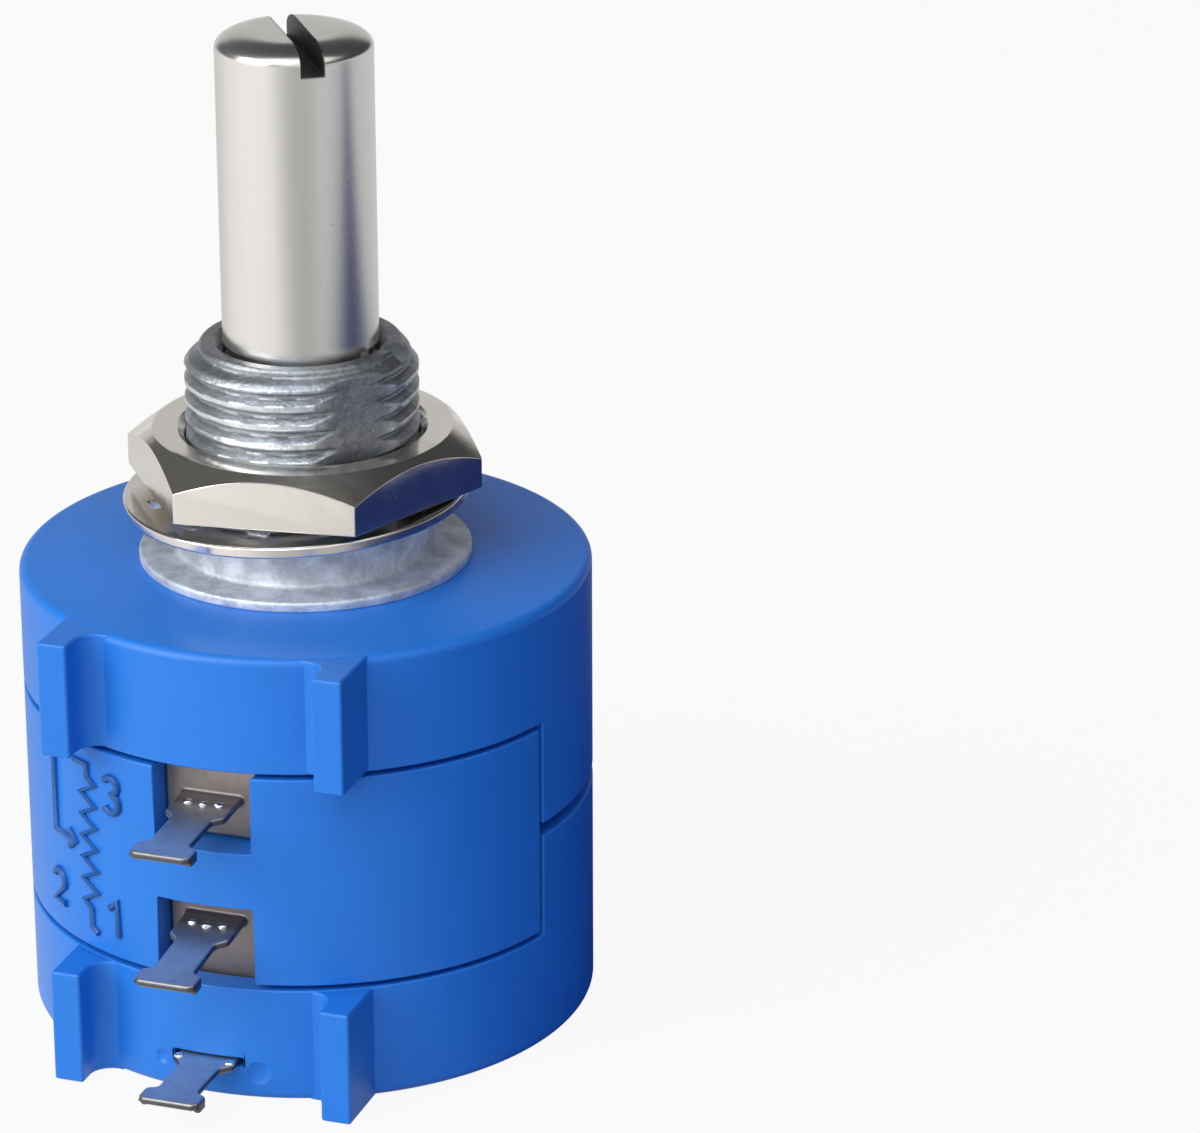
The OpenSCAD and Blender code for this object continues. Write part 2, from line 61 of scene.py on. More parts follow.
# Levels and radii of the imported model
BODY_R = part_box("rear_cover")[1].y
FACE_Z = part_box("front_cover")[1].z
MIDDLE_Z = FACE_Z / 2
BUSHING_LOW_Z, BUSHING_TOP_Z = (corner.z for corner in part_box("bushing"))
SHAFT_TOP_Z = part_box("shaft")[1].z
SHAFT_R = 3.0 * MM
# Top of the bushing's collar, where the thread starts
COLLAR_Z = FACE_Z + 2.15 * MM
# Joint between the covers, joint round the panel, and how far a face stays off another
COVER_GAP = 0.5 * MM
PANEL_GAP = 0.2 * MM
SKIN = 0.03 * MM
# The camera's place, the way it looks, its roll and its focal length in millimetres
CAMERA_PLACE = (0.0732, -0.1785, 0.0934)
CAMERA_AIM = Vector((-0.3015, 0.8802, -0.3666)).normalized()
CAMERA_ROLL = -0.0026
CAMERA_LENS = 159.78


def polar(radius, azimuth, height):
    """The point at a distance from the axis, an azimuth from -Y and a height."""
    return Vector((radius * math.sin(azimuth), -radius * math.cos(azimuth), height))


# Sizes and colours that a user may change

def length(name, description, default):
    return FloatProperty(name=name, description=description, default=default * MM,
                         unit="LENGTH", precision=5)


def angle(name, description, default):
    return FloatProperty(name=name, description=description,
                         default=math.radians(default), subtype="ANGLE")


def colour(name, description, default):
    return FloatVectorProperty(name=name, description=description, default=default,
                               size=3, subtype="COLOR", min=0, max=1)


def amount(name, description, default):
    return FloatProperty(name=name, description=description, default=default,
                         subtype="FACTOR", min=0, max=1)


class BodySettings(PropertyGroup):
    edge: length("Edge", "Rounding of the moulded edges", 0.08)
    rim: length("Rim", "Rounding of the covers' outer rims", 0.35)
    wall: length("Wall", "Thickness of the covers' walls", 1.1)
    panel_h: length("Panel", "Height of the panel", 8.5)
    line_w: length("Relief width", "Width of the raised lines on the panel", 0.30)
    line_h: length("Relief height", "How far those lines stand out", 0.19)
    blue: colour("Plastic", "Colour of the moulded body", (0.016, 0.186, 0.660))
    gloss: amount("Roughness", "Roughness of the moulded body", 0.42)


class ThreadSettings(PropertyGroup):
    pitch: length("Pitch", "Rise of the thread in one turn", 0.75)
    depth: length("Depth", "Depth of the thread", 0.31)
    outer_r: length("Radius", "Outer radius of the thread", 4.5)
    flat: length("Flat", "Distance from the axis to the thread's flats", 4.08)
    flat_turn: angle("Flat's azimuth", "Azimuth of the first flat", 52)
    chamfer_w: length("Chamfer width", "Width of the chamfer on the thread's top", 0.7)
    chamfer_h: length("Chamfer height", "Height of that chamfer", 0.85)
    steps: IntProperty(name="Steps", description="Segments round the bushing", default=288,
                       min=96, max=360)
    zinc: colour("Zinc", "Colour of the cast bushing", (0.60, 0.625, 0.66))


class MetalSettings(PropertyGroup):
    slot_w: length("Slot width", "Width of the screwdriver slot", 0.85)
    slot_depth: length("Slot depth", "Depth of the screwdriver slot", 1.05)
    slot_turn: angle("Slot's azimuth", "Azimuth of the screwdriver slot", 35.5)
    steel: colour("Steel", "Colour of the turned shaft", (0.80, 0.78, 0.745))
    nickel: colour("Nickel", "Colour of the plated nut and washer", (0.84, 0.80, 0.745))
    tin: colour("Tin", "Colour of the terminals", (0.68, 0.66, 0.64))


class StageSettings(PropertyGroup):
    floor: colour("Floor", "Colour of the floor", (0.60, 0.60, 0.60))
    key: FloatProperty(name="Key light", description="Power of the large soft light",
                       default=1.5, unit="POWER")
    fill: amount("Fill", "Strength of the light from all round", 0.95)


def settings():
    return bpy.context.scene.pot


# Materials

class Value:
    """What a node gives. Operators on a number add Math nodes."""

    def __init__(self, shader, socket):
        self.shader, self.socket = shader, socket

    def math(self, operation, *others, first=None):
        values = [self if first is None else first, *others]
        return self.shader.node("ShaderNodeMath", {"operation": operation},
                                dict(enumerate(values)))

    def __add__(self, other):
        return self.math("ADD", other)

    __radd__ = __add__

    def __mul__(self, other):
        return self.math("MULTIPLY", other)

    __rmul__ = __mul__

    def __sub__(self, other):
        return self.math("SUBTRACT", other)

    def __rsub__(self, other):
        return self.math("SUBTRACT", self, first=other)

    def __neg__(self):
        return self * -1

    def __pow__(self, other):
        return self.math("POWER", other)


class Shader:
    """Nodes of a material or a world, added by one method and joined by expressions."""

    def __init__(self, owner, place="Object"):
        owner.use_nodes = True
        self.tree = owner.node_tree
        self.tree.nodes.clear()
        self.place = self.node("ShaderNodeTexCoord", {}, {}, place)

    def node(self, kind, options, inputs, output=0):
        """Add a node with its settings and inputs, and give the wanted output."""
        node = self.tree.nodes.new(kind)
        for key, value in options.items():
            setattr(node, key, value)
        for key, value in inputs.items():
            socket = (node.inputs[key] if isinstance(key, int) else
                      next(s for s in node.inputs if s.name == key and s.enabled))
            if isinstance(value, Value):
                self.tree.links.new(value.socket, socket)
            elif socket.type == "RGBA" and len(value) == 3:
                socket.default_value = (*value, 1)
            else:
                socket.default_value = value
        if output is None:
            return None
        outputs = [s for s in node.outputs if s.enabled]
        return Value(self, outputs[output] if isinstance(output, int) else
                     node.outputs[output])

    def part(self, axis, vector=None):
        """One coordinate of a vector, or of the place on the object."""
        return self.node("ShaderNodeSeparateXYZ", {}, {0: vector or self.place}, axis)

    def radius(self):
        """Distance from the shaft's axis."""
        return (self.part("X") ** 2 + self.part("Y") ** 2) ** 0.5

    def along(self, direction, azimuth):
        """How far a direction points along an azimuth in degrees, from -1 to 1."""
        return self.node("ShaderNodeVectorMath", {"operation": "DOT_PRODUCT"}, {
            0: direction, 1: polar(1, math.radians(azimuth), 0)}, "Value")

    def scaled(self, x, y, z):
        """Object coordinates, stretched along each axis."""
        return self.node("ShaderNodeMapping", {}, {"Vector": self.place, "Scale": (x, y, z)})

    def noise(self, size, detail, rough, place=None):
        """Noise with marks of about a size in metres, from 0 to 1."""
        return self.node("ShaderNodeTexNoise", {}, {
            "Vector": place or self.place, "Scale": 1 / size, "Detail": detail,
            "Roughness": rough})

    def ramp(self, value, low, high):
        """0 below low, 1 above high, smooth between them."""
        return self.node("ShaderNodeMapRange", {"interpolation_type": "SMOOTHSTEP"}, {
            "Value": value, "From Min": low, "From Max": high})

    def mix(self, factor, a, b):
        """A colour between two others."""
        return self.node("ShaderNodeMix", {"data_type": "RGBA"},
                         {"Factor": factor, "A": a, "B": b})

    def bump(self, height, distance, normal=None):
        """Normal of a surface whose height varies, laid over another if one is given."""
        inputs = {"Height": height, "Distance": distance, "Strength": 1.0}
        if normal:
            inputs["Normal"] = normal
        return self.node("ShaderNodeBump", {}, inputs)

    def glow(self, tint, strength=1.0):
        return self.node("ShaderNodeEmission", {}, {"Color": tint, "Strength": strength})

    def between(self, factor, a, b):
        """A blend of two shaders."""
        return self.node("ShaderNodeMixShader", {}, {0: factor, 1: a, 2: b})

    def ray(self, kind):
        """1 for rays of one kind, 0 for the others."""
        return self.node("ShaderNodeLightPath", {}, {}, "Is %s Ray" % kind)

    def output(self, surface, kind="Material"):
        self.node("ShaderNodeOutput" + kind, {}, {"Surface": surface}, None)

    def finish(self, base, rough, normal, metallic=0.0, specular=0.5):
        """Principled shader and output."""
        self.output(self.node("ShaderNodeBsdfPrincipled", {}, {
            "Base Color": base, "Roughness": rough, "Normal": normal, "Metallic": metallic,
            "Specular IOR Level": specular}))


def shade(value, factor):
    """A colour made lighter or darker."""
    return tuple(min(1.0, channel * factor) for channel in value)


def moulded_blue(s):
    body = settings().body
    blue = tuple(body.blue)
    flow = s.noise(5 * MM, 3, 0.55)
    grain = s.noise(0.09 * MM, 2, 0.6)
    specks = s.ramp(s.noise(0.30 * MM, 4, 0.7), 0.62, 0.72)
    base = s.mix(flow, shade(blue, 0.92), shade(blue, 1.08))
    base = s.mix(specks * 0.12, base, shade(blue, 1.5))
    # The relief is painted dark, as painted shade for the shadows along its raised lines: what
    # stands out from the wall within the panel's height
    edge = body.panel_h / 2 - 0.25 * MM
    panel = 1 - s.ramp((s.part("Z") - MIDDLE_Z).math("ABSOLUTE"), edge - 0.1 * MM,
                       edge + 0.1 * MM)
    lines = panel * s.ramp(s.radius(), BODY_R + 0.02 * MM, BODY_R + 0.06 * MM)
    base = s.mix(lines * 0.6, base, shade(blue, 0.12))
    rough = body.gloss + (flow - 0.5) * 0.10 + specks * 0.10
    dents = s.bump(s.noise(1.3 * MM, 3, 0.5), 0.02 * MM)
    s.finish(base, rough, s.bump(grain, 0.003 * MM, dents), specular=0.45)


def cast_zinc(s):
    thread = settings().thread
    zinc = tuple(thread.zinc)
    pits = s.noise(0.14 * MM, 4, 0.65)
    stain = s.noise(0.9 * MM, 4, 0.6)
    grains = s.ramp(s.noise(0.22 * MM, 3, 0.7), 0.50, 0.66)
    base = s.mix(s.ramp(stain, 0.35, 0.7), shade(zinc, 0.80), shade(zinc, 1.12))
    base = s.mix(grains * 0.5, base, shade(zinc, 1.45))
    base = s.mix(s.ramp(pits, 0.54, 0.7) * 0.5, base, shade(zinc, 0.45))
    # The thread's grooves are painted dark as painted shade, and its crests painted bright as
    # a painted highlight and made smoother; the casting under it is pale
    radius = s.radius()
    turned = s.ramp(s.part("Z"), COLLAR_Z - 0.05 * MM, COLLAR_Z + 0.15 * MM)
    painted_groove_shade = (1 - s.ramp(radius, thread.outer_r - 0.9 * thread.depth,
                         thread.outer_r - 0.3 * thread.depth)) * turned
    crest_highlight_and_polish = s.ramp(radius, thread.outer_r - 0.14 * thread.depth, thread.outer_r) * turned
    cast = 1 - turned
    base = s.mix(painted_groove_shade * 0.55, base, shade(zinc, 0.30))
    base = s.mix(crest_highlight_and_polish * 0.6, base, (0.86, 0.87, 0.89))
    blotch = s.ramp(stain, 0.30, 0.72)
    base = s.mix(cast * 0.6, base, s.mix(blotch, shade(zinc, 0.88), (0.90, 0.93, 0.97)))
    rough = 0.34 + pits * 0.20 - crest_highlight_and_polish * 0.12 + cast * 0.12
    wide = s.bump(s.noise(0.5 * MM, 3, 0.6), 0.05 * MM)
    s.finish(base, rough, s.bump(pits, 0.024 * MM, wide), 1 - cast * 0.35)


def turned_steel(s):
    metal = settings().metal
    steel = tuple(metal.steel)
    rings = s.noise(1.0, 3, 0.7, s.scaled(60, 60, 16000))
    bands = s.noise(1.0, 2, 0.5, s.scaled(900, 900, 40))
    spots = s.ramp(s.noise(0.28 * MM, 3, 0.6), 0.68, 0.76)
    base = s.mix(bands, shade(steel, 0.93), shade(steel, 1.07))
    base = s.mix(spots * 0.35, base, shade(steel, 0.55))
    # The milled slot is rough, and its colour is painted dark as painted shade in the slot
    turn, half = metal.slot_turn, metal.slot_w / 2
    across = (s.part("X") * math.cos(turn) + s.part("Y") * math.sin(turn)).math("ABSOLUTE")
    floor = SHAFT_TOP_Z - metal.slot_depth
    milled_and_painted_shade = (1 - s.ramp(across, half + SKIN, half + 2 * SKIN)) * s.ramp(
        s.part("Z"), floor - 3 * SKIN, floor)
    cutter = s.noise(0.07 * MM, 3, 0.6)
    base = s.mix(milled_and_painted_shade, base, s.mix(cutter, (0.07, 0.065, 0.06), (0.16, 0.15, 0.14)))
    rough = 0.20 + rings * 0.10 + spots * 0.15 + milled_and_painted_shade * 0.25
    s.finish(base, rough, s.bump(rings, 0.0012 * MM), 1.0)


def bright_nickel(s):
    nickel = tuple(settings().metal.nickel)
    cloud = s.noise(1.4 * MM, 3, 0.55)
    fine = s.noise(0.12 * MM, 3, 0.6)
    pits = s.ramp(s.noise(0.22 * MM, 3, 0.6), 0.70, 0.78)
    base = s.mix(cloud, shade(nickel, 0.94), shade(nickel, 1.06))
    base = s.mix(pits * 0.5, base, shade(nickel, 0.5))
    rough = 0.12 + cloud * 0.10 + pits * 0.2
    s.finish(base, rough, s.bump(fine, 0.0012 * MM, s.bump(cloud, 0.012 * MM)), 1.0)


def tinned_sheet(s):
    tin = tuple(settings().metal.tin)
    rolled = s.noise(1.0, 3, 0.6, s.scaled(9000, 700, 700))
    cloud = s.noise(0.7 * MM, 3, 0.6)
    spot = s.ramp(s.noise(0.3 * MM, 3, 0.6), 0.6, 0.72)
    base = s.mix(cloud, shade(tin, 0.8), shade(tin, 1.15))
    base = s.mix(spot * 0.4, base, shade(tin, 0.4))
    # The sheared edges and other steep faces are painted dark, as painted shade by how far
    # they turn from level; the part inside the body is darker too, partly its own brass colour
    # and partly painted shade in the windows
    brass_and_painted_shade = s.ramp(s.part("Y"), -BODY_R - 0.1 * MM, -BODY_R + 0.5 * MM)
    normal = s.node("ShaderNodeNewGeometry", {}, {}, "Normal")
    edge = (1 - s.ramp(s.part("Z", normal).math("ABSOLUTE"), 0.45, 0.93)) * (1 - brass_and_painted_shade)
    base = s.mix(edge * 0.85, base, (0.055, 0.055, 0.065))
    # Inside the body: partly the plate's own brass colour, partly painted shade in the windows
    base = s.mix(brass_and_painted_shade * 0.75, base, (0.17, 0.135, 0.125))
    rough = 0.34 + rolled * 0.14 + brass_and_painted_shade * 0.10
    s.finish(base, rough, s.bump(rolled, 0.003 * MM, s.bump(cloud, 0.02 * MM)), 1.0)


def wound_wire(s):
    turns_round_the_case = 720
    azimuth = s.part("X").math("ARCTAN2", s.part("Y"))
    ridge = (azimuth * turns_round_the_case).math("SINE")
    cloud = s.noise(0.8 * MM, 2, 0.5)
    base = s.mix(cloud, (0.42, 0.25, 0.12), (0.62, 0.42, 0.24))
    s.finish(base, 0.28 + cloud * 0.1, s.bump(ridge, 0.008 * MM), 1.0)


def plain_finish(s, tint, metallic, rough, grain, depth):
    """A finish of one colour that noise varies a little."""
    cloud = s.noise(grain * 8, 3, 0.55)
    fine = s.noise(grain, 2, 0.6)
    base = s.mix(cloud, shade(tint, 0.85), shade(tint, 1.15))
    s.finish(base, rough - 0.04 + cloud * 0.08 + fine * 0.04, s.bump(fine, depth), metallic)


FINISHES = {
    "cover_plastic": moulded_blue,
    "cast_zinc": cast_zinc,
    "shaft_steel": turned_steel,
    "bright_plating": bright_nickel,
    "tinned_sheet": tinned_sheet,
    "resistance_wire": wound_wire,
}
# Colour, metallic, roughness, size of the grain and its depth
PLAIN_FINISHES = {
    "rotor_plastic": ((0.035, 0.036, 0.040), 0.0, 0.45, 0.10 * MM, 0.004 * MM),
    "carriage_plastic": ((0.74, 0.70, 0.60), 0.0, 0.40, 0.10 * MM, 0.004 * MM),
    "contact_metal": ((0.80, 0.58, 0.22), 1.0, 0.25, 0.08 * MM, 0.002 * MM),
    "spring_steel": ((0.55, 0.55, 0.57), 1.0, 0.30, 0.08 * MM, 0.003 * MM),
}


def finish_of(slot):
    """The material of one of the record's slots, made when it is first asked for."""
    name = "pot_" + slot
    material = bpy.data.materials.get(name)
    if material is None:
        material = bpy.data.materials.new(name)
        shader = Shader(material)
        if slot in PLAIN_FINISHES:
            plain_finish(shader, *PLAIN_FINISHES[slot])
        else:
            FINISHES[slot](shader)
    return material


# Modelling

def take(*pieces):
    """Select only these pieces and make the first one active."""
    bpy.ops.object.select_all(action="DESELECT")
    for piece in pieces:
        piece.select_set(True)
    bpy.context.view_layer.objects.active = pieces[0]


def edit_all(*steps):
    """Run steps in edit mode on the whole active mesh."""
    bpy.ops.object.mode_set(mode="EDIT")
    bpy.ops.mesh.select_mode(type="VERT")
    for step in steps:
        bpy.ops.mesh.select_all(action="SELECT")
        step()
    bpy.ops.object.mode_set(mode="OBJECT")


def merge():
    bpy.ops.mesh.remove_doubles(threshold=0.0005 * MM)


def outwards():
    bpy.ops.mesh.normals_make_consistent(inside=False)


def link(name, data):
    """A new object in the scene, the only one selected."""
    piece = bpy.data.objects.new(name, data)
    bpy.context.scene.collection.objects.link(piece)
    take(piece)
    return piece


def new_piece(name, points, edges=(), faces=()):
    mesh = bpy.data.meshes.new(name)
    mesh.from_pydata(points, edges, faces)
    return link(name, mesh)


def added(primitive, name, **options):
    """A primitive, added with nothing else selected and its place in its mesh."""
    bpy.ops.object.select_all(action="DESELECT")
    primitive(**options)
    bpy.ops.object.transform_apply(location=True, rotation=False, scale=False)
    piece = bpy.context.active_object
    piece.name = name
    return piece


def apply(piece, kind, **options):
    """Add a modifier and apply it."""
    take(piece)
    modifier = piece.modifiers.new(kind.title(), kind)
    for key, value in options.items():
        setattr(modifier, key, value)
    bpy.ops.object.modifier_apply(modifier=modifier.name)


def smooth(piece, degrees=30):
    take(piece)
    bpy.ops.object.shade_smooth_by_angle(angle=math.radians(degrees))


def soften(piece, width, segments=4, degrees=30, miter="MITER_ARC"):
    """Round every edge sharper than an angle."""
    smooth(piece, degrees)
    apply(piece, "BEVEL", width=width, segments=segments, limit_method="ANGLE",
          angle_limit=math.radians(degrees), use_clamp_overlap=False, harden_normals=True,
          miter_outer=miter)


def soften_outside(piece, width, radius):
    """Round only the sharp edges that lie beyond a distance from the axis."""
    degrees = 35
    smooth(piece, degrees)
    mesh = piece.data
    weights = mesh.attributes.new("bevel_weight_edge", "FLOAT", "EDGE")
    normals = {}
    for face in mesh.polygons:
        for key in face.edge_keys:
            normals.setdefault(key, []).append(face.normal)
    for edge in mesh.edges:
        ends = [mesh.vertices[k].co for k in edge.vertices]
        far = all(math.hypot(end.x, end.y) > radius for end in ends)
        pair = normals.get(edge.key, ())
        sharp = len(pair) == 2 and pair[0].angle(pair[1]) > math.radians(degrees)
        weights.data[edge.index].value = 1.0 if far and sharp else 0.0
    apply(piece, "BEVEL", width=width, segments=3, limit_method="WEIGHT",
          use_clamp_overlap=False, harden_normals=True)


def turn_shading(piece, faces, normal_at):
    """Shade some faces with the normal that a face and a place on it give, if any."""
    mesh = piece.data
    normals = [corner.vector.copy() for corner in mesh.corner_normals]
    for face in faces:
        for k in face.loop_indices:
            place = mesh.vertices[mesh.loops[k].vertex_index].co
            normals[k] = normal_at(face, place) or normals[k]
    mesh.normals_split_custom_set(normals)


def true_cone(piece):
    """Shade the chamfer turned on a hexagon's outer corners as a whole cone."""
    slopes = [face for face in piece.data.polygons if 0.3 < face.normal.z < 0.98]
    rise = max(slopes, key=lambda face: face.area).normal.z
    run = math.sqrt(1 - rise ** 2)

    def cone(face, place):
        out = place.xy.normalized() * run
        return Vector((out.x, out.y, rise))

    turn_shading(piece, [face for face in slopes
                         if face.normal.xy.dot(face.center.xy) >= 0], cone)


def true_wall(piece, radius):
    """Shade the faces of a round wall straight out from the axis."""
    def straight(face, place):
        out = Vector((place.x, place.y, 0))
        on_wall = abs(out.length - radius) < SKIN / 5
        return (out.normalized() if on_wall and face.normal.dot(out) > 0.98 * out.length
                else None)

    turn_shading(piece, [face for face in piece.data.polygons
                         if abs(face.normal.z) <= 0.02], straight)


def merged_copy(node, name):
    """A copy of a CAD node, with its triangles joined into whole faces."""
    piece = link(name, frame["nodes"][node].data.copy())
    piece.data.materials.clear()
    edit_all(merge, lambda: bpy.ops.mesh.dissolve_limited(angle_limit=math.radians(0.4)))
    return piece


def dress(piece, body, slot, *nodes):
    """Give a finished piece its material and its body, and hide the nodes that it stands for.
    """
    piece.data.materials.clear()
    piece.data.materials.append(finish_of(slot))
    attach(piece, body)
    if nodes:
        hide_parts(*nodes)


def lathe(name, profile, steps):
    """Turn a profile of (radius, height) points round the axis, a ring if it is off it."""
    count = len(profile)
    ring = profile[0][0] > 0
    edges = [(k, (k + 1) % count) for k in range(count if ring else count - 1)]
    piece = new_piece(name, [(0, -r, z) for r, z in profile], edges)
    edit_all(lambda: bpy.ops.mesh.spin(steps=steps, angle=2 * math.pi, center=(0, 0, 0),
                                       axis=(0, 0, 1)),
             merge, outwards)
    return piece


def rounded(points, steps=4):
    """Profile whose corners (radius, height, rounding) are replaced with arcs."""
    out = []
    count = len(points)
    for k, (r, z, rounding) in enumerate(points):
        here = Vector((r, z))
        if not rounding:
            out.append(tuple(here))
            continue
        before = (Vector(points[k - 1][:2]) - here).normalized()
        after = (Vector(points[(k + 1) % count][:2]) - here).normalized()
        half = before.angle(after) / 2
        reach = rounding / math.tan(half)
        centre = here + (before + after).normalized() * (rounding / math.sin(half))
        start, end = here + before * reach - centre, here + after * reach - centre
        turn = start.angle(end)
        for i in range(steps + 1):
            t = i / steps
            out.append(tuple(centre + (start * math.sin((1 - t) * turn) +
                                       end * math.sin(t * turn)) / math.sin(turn)))
    return out


def prism(name, outline, low, high):
    """An outline of (x, y) points, drawn up from one height to another."""
    piece = new_piece(name, [(x, y, low) for x, y in outline], (),
                      [tuple(range(len(outline)))])
    edit_all(lambda: bpy.ops.mesh.extrude_region_move(
        TRANSFORM_OT_translate={"value": (0, 0, high - low)}), outwards)
    return piece


def box_piece(name, size, place, azimuth=0.0):
    """A plain block, as a tool for cuts. Its size is (width, depth, height)."""
    tool = added(bpy.ops.mesh.primitive_cube_add, name, size=1)
    tool.data.transform(Matrix.Rotation(azimuth, 4, "Z") @ Matrix.Translation(place)
                        @ Matrix.Diagonal((*size, 1)))
    return tool


def cut(piece, tool):
    """Take a tool out of a piece, and the tool out of the scene."""
    apply(piece, "BOOLEAN", object=tool, operation="DIFFERENCE", solver="EXACT")
    bpy.data.objects.remove(tool)


def strokes(name, lines, radius, width, height):
    """Raised lines on a round wall. Each is a list of (distance round it, level)."""
    curve = bpy.data.curves.new(name, "CURVE")
    curve.dimensions = "3D"
    curve.bevel_depth = width / 2
    curve.bevel_resolution = 3
    curve.use_fill_caps = True
    for line in lines:
        spline = curve.splines.new("POLY")
        spline.points.add(len(line) - 1)
        for point, (u, z) in zip(spline.points, line):
            point.co = (*polar(radius + height - width / 2, u / radius, z), 1)
    link(name, curve)
    bpy.ops.object.convert(target="MESH")
    piece = bpy.context.active_object
    smooth(piece, 60)
    return piece


# Operators

class PieceOperator(Operator):
    """Base of the operators that make pieces"""
    bl_options = {"REGISTER", "UNDO"}

    def execute(self, context):
        self.make(context.scene.pot)
        return {"FINISHED"}


class POT_OT_covers(PieceOperator):
    """Mould the two covers: a cup with ears, open where the panel shows"""
    bl_idname = "pot.covers"
    bl_label = "Covers"

    def make(self, pot):
        self.rear(pot.body)
        self.front(pot.body)

    def rear(self, body):
        """Rear cup: a floor with a bearing pocket, four blind holes and a lug's slot."""
        floor = 1.35 * MM
        boss_r, boss_z = 3.45 * MM, 2.25 * MM
        pocket_r, pocket_z = 2.45 * MM, 0.95 * MM
        shell = self.cup("rear_cover_moulding", body, floor, [(0, 0, 0)], [
            (boss_r, floor, 0), (boss_r, boss_z, 0), (pocket_r, boss_z, 0),
            (pocket_r, pocket_z, 0), (0, pocket_z, 0)])
        hole_place, hole_r, hole_depth = 3.175 * MM, 0.525 * MM, 0.7 * MM
        for x in (-hole_place, hole_place):
            for y in (-hole_place, hole_place):
                cut(shell, added(bpy.ops.mesh.primitive_cylinder_add, "hole_tool", vertices=32,
                                 radius=hole_r, depth=2 * hole_depth, location=(x, y, 0)))
        slot_w, slot_h = 2.85 * MM, 0.35 * MM
        cut(shell, box_piece("slot_tool", (slot_w, 2 * MM, slot_h),
                             (0, -BODY_R + 0.5 * MM, floor + slot_h / 2)))
        # Shallow round marks beside the slot: azimuth, level and the ball's radius
        for azimuth, level, ball_r in ((10.5, 1.12 * MM, 0.85 * MM),
                                       (-10.0, 1.25 * MM, 0.55 * MM)):
            cut(shell, added(bpy.ops.mesh.primitive_uv_sphere_add, "mark_tool", segments=32,
                             ring_count=24, radius=ball_r, location=polar(
                                 BODY_R + ball_r * 0.8, math.radians(azimuth), level)))
        self.finish_cup(shell, body, "rear_cover")

    def front(self, body):
        """Front cup, turned over: a plate with the bushing's hole."""
        floor, hole_r = 1.3 * MM, 5.62 * MM
        shell = self.cup("front_cover_moulding", body, floor, [(hole_r, 0, 0)],
                         [(hole_r, floor, 0)])
        shell.data.transform(Matrix.Translation((0, 0, FACE_Z)) @ Matrix.Scale(
            -1, 4, (0, 0, 1)))
        take(shell)
        edit_all(outwards)
        self.finish_cup(shell, body, "front_cover")

    def under_panel(self, body):
        """Level of a standing cup's wall where the panel shows."""
        return MIDDLE_Z - body.panel_h / 2 - PANEL_GAP

    def cup(self, name, body, floor, start, inside):
        """A cup that stands on its floor, with a wedge of its wall cut down."""
        rim, low = MIDDLE_Z - COVER_GAP / 2, self.under_panel(body)
        inner_r = BODY_R - body.wall
        wall_steps = 190
        # Rows in the wall near what is cut, so that the faces beyond them stay whole
        rows = [(BODY_R, z, 0) for z in (1.05 * MM, 2.0 * MM, low - 0.2 * MM, low + 0.25 * MM)]
        points = [*start, (BODY_R, 0, body.rim), *rows, (BODY_R, rim, 0),
                  (inner_r, rim, 0), (inner_r, floor, 0.15 * MM), *inside]
        shell = lathe(name, rounded(points, 6), wall_steps)
        cut(shell, self.opening(low))
        return shell

    def opening(self, bottom):
        """Wedge that frees the panel, from a height to above the cup."""
        half = math.radians(75)
        far = 30 * MM
        points = [(0, 0), (-far * math.sin(half), -far * math.cos(half)), (-far, -far),
                  (far, -far), (far * math.sin(half), -far * math.cos(half))]
        return prism("opening_tool", points, bottom, bottom + 20 * MM)

    def finish_cup(self, shell, body, node):
        """Round the edges, add the ears and set the wall's shading."""
        soften(shell, body.edge, 3, 50)
        low, high = SKIN, self.under_panel(body) - SKIN
        if node == "front_cover":
            low, high = FACE_Z - high, FACE_Z - low
        ears = [self.ear(side, low, high) for side in (-1, 1)]
        take(shell, *ears)
        bpy.ops.object.join()
        true_wall(shell, BODY_R)
        dress(shell, "housing", "cover_plastic", node)

    def ear(self, side, low, high):
        """Ear of a cup, with a fillet on its inner side and rounded edges."""
        inner, outer, fillet = 4.9 * MM, 6.1 * MM, 0.8 * MM
        front = -BODY_R - 0.75 * MM
        fillet_x = inner - fillet
        fillet_y = -math.sqrt((BODY_R + fillet - SKIN) ** 2 - fillet_x ** 2)
        buried_x = fillet_x - 0.3 * MM
        outline = [(inner, front), (outer, front), (outer, -8.8 * MM), (buried_x, -9.9 * MM),
                   (buried_x, fillet_y + fillet)]
        outline += [(fillet_x + fillet * math.sin(turn), fillet_y + fillet * math.cos(turn))
                    for turn in (math.radians(step) for step in range(0, 91, 9))]
        piece = prism("ear", [(side * x, y) for x, y in outline], low, high)
        soften(piece, 0.12 * MM, degrees=40)
        return piece


class POT_OT_case(PieceOperator):
    """Round the outer edges of the case that carries the panel"""
    bl_idname = "pot.case"
    bl_label = "Case and panel"

    def make(self, pot):
        inside_r = 9.6 * MM
        piece = merged_copy("element_case", "element_case_moulding")
        soften_outside(piece, pot.body.edge, inside_r)
        true_wall(piece, BODY_R)
        dress(piece, "housing", "cover_plastic", "element_case")


